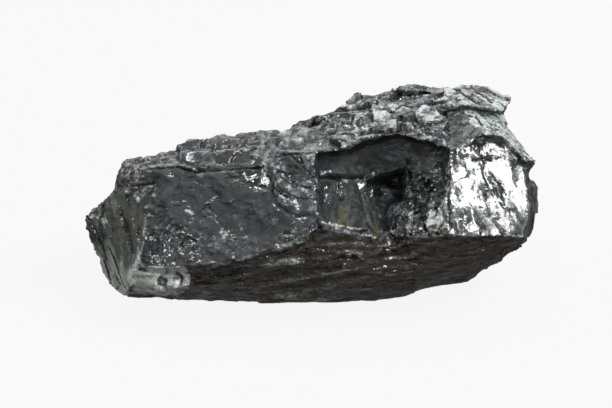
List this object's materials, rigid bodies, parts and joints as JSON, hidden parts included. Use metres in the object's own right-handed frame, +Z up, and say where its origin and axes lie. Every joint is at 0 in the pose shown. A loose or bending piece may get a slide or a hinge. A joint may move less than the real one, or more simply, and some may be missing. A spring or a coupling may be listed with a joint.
{
  "type": "coal lump",
  "caption": "Elongated lump of hard bright coal with broken conchoidal and stepped faces, a deep hollow on its show side and a flat bedding face to rest on.",
  "frame": {"origin": "centre of the bounding box's bottom, in the plane of the bedding face that the lump rests on", "axes": "+Z up, +X along the lump's length towards its thicker, bright end, -Y towards the person who looks at the show side"},
  "size_m": [0.1194, 0.068, 0.0491],
  "materials": {
    "coal": "black coal, from mirror-bright fracture faces to dull satin bands"
  },
  "bodies": {
    "root": {"coal_lump": "coal"}
  },
  "joints": []
}
